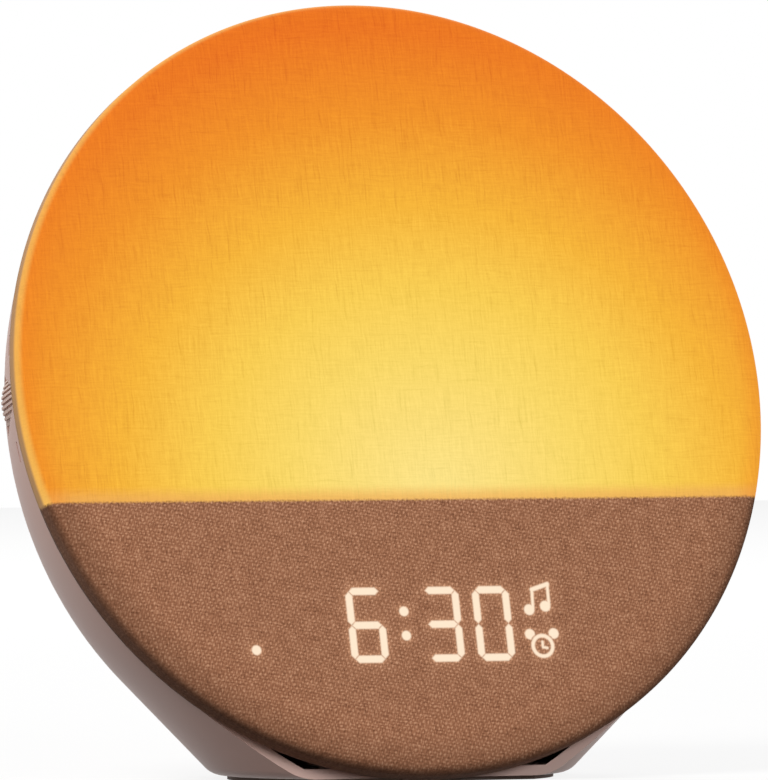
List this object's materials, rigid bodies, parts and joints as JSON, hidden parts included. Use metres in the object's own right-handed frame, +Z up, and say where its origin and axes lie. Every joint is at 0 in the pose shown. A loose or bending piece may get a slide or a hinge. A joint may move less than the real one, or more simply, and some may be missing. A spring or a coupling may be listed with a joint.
{
  "type": "sunrise alarm clock",
  "caption": "Round leaning bedside wake-up light and alarm clock with a lit cloth face, glowing digits, side thumbwheels and a crown button.",
  "frame": {"origin": "centre of the foot pad's resting plane, on the table, straight below the widest section of the housing", "axes": "+Z up; the face looks towards -Y and leans back towards +Y; +X to the right as seen from the front"},
  "size_m": [0.19, 0.099, 0.1842],
  "materials": {
    "sunrise_fabric": "woven linen-look cloth",
    "white_plastic": "matte",
    "frame_plastic": "matte",
    "trim_plastic": "satin",
    "housing_plastic": "fine matte texture",
    "black_plastic": "matte",
    "diffuser": "translucent opal",
    "lens": "translucent, lit",
    "circuit_board": "solder mask",
    "led": "moulded phosphor",
    "chip": "epoxy",
    "steel": "zinc plated",
    "magnet": "coated ferrite",
    "cone_paper": "paper cone",
    "foam": "closed-cell foam",
    "silicone": "matte silicone",
    "dial_plastic": "matte, ribbed",
    "lead": "insulated lead"
  },
  "bodies": {
    "clock": {"fabric_cover": "sunrise_fabric", "front_frame": "frame_plastic", "frame_screws": "steel", "trim_ring": "trim_plastic", "diffuser_panel": "diffuser", "display_mask": "black_plastic", "reflector_tray": "white_plastic", "light_divider": "white_plastic", "light_board": "circuit_board", "light_leds": "led", "digit_lenses": "lens", "symbol_lenses": "lens", "display_light_box": "white_plastic", "display_board": "circuit_board", "display_leds": "led", "left_encoder": "chip", "left_dial_board": "circuit_board", "right_encoder": "chip", "right_dial_board": "circuit_board", "dial_board_screws": "steel", "rear_housing": "housing_plastic", "base_hatch": "housing_plastic", "foot_pad": "silicone", "hatch_screws": "steel", "button_switch": "steel", "button_board": "circuit_board", "button_board_screws": "steel", "main_board": "circuit_board", "board_parts": "chip", "radio_module": "steel", "board_screws": "steel", "speaker_basket": "steel", "speaker_magnet": "magnet", "speaker_cone": "cone_paper", "speaker_gasket": "foam", "power_inlet": "chip", "inlet_pin": "steel", "display_ribbon": "lead", "light_ribbon": "lead", "speaker_leads": "lead", "power_leads": "lead"},
    "left_dial": {"left_dial": "dial_plastic", "left_dial_axle": "steel"},
    "right_dial": {"right_dial": "dial_plastic", "right_dial_axle": "steel"},
    "crown_button": {"crown_button": "dial_plastic", "switch_plunger": "chip"}
  },
  "joints": [
    {"name": "left_dial_turn", "type": "hinge", "parent": "clock", "child": "left_dial", "pos_m": [-0.0816, 0.01001, 0.08966], "axis": [0, -0.9613, 0.2756], "continuous": true},
    {"name": "right_dial_turn", "type": "hinge", "parent": "clock", "child": "right_dial", "pos_m": [0.0816, 0.01001, 0.08966], "axis": [0, -0.9613, 0.2756], "continuous": true},
    {"name": "crown_button_press", "type": "slide", "parent": "clock", "child": "crown_button", "axis": [0, -0.6971, -0.717], "range_m": [0, 0.001], "stiffness_N_per_m": 1500, "springref_m": -0.0005}
  ]
}
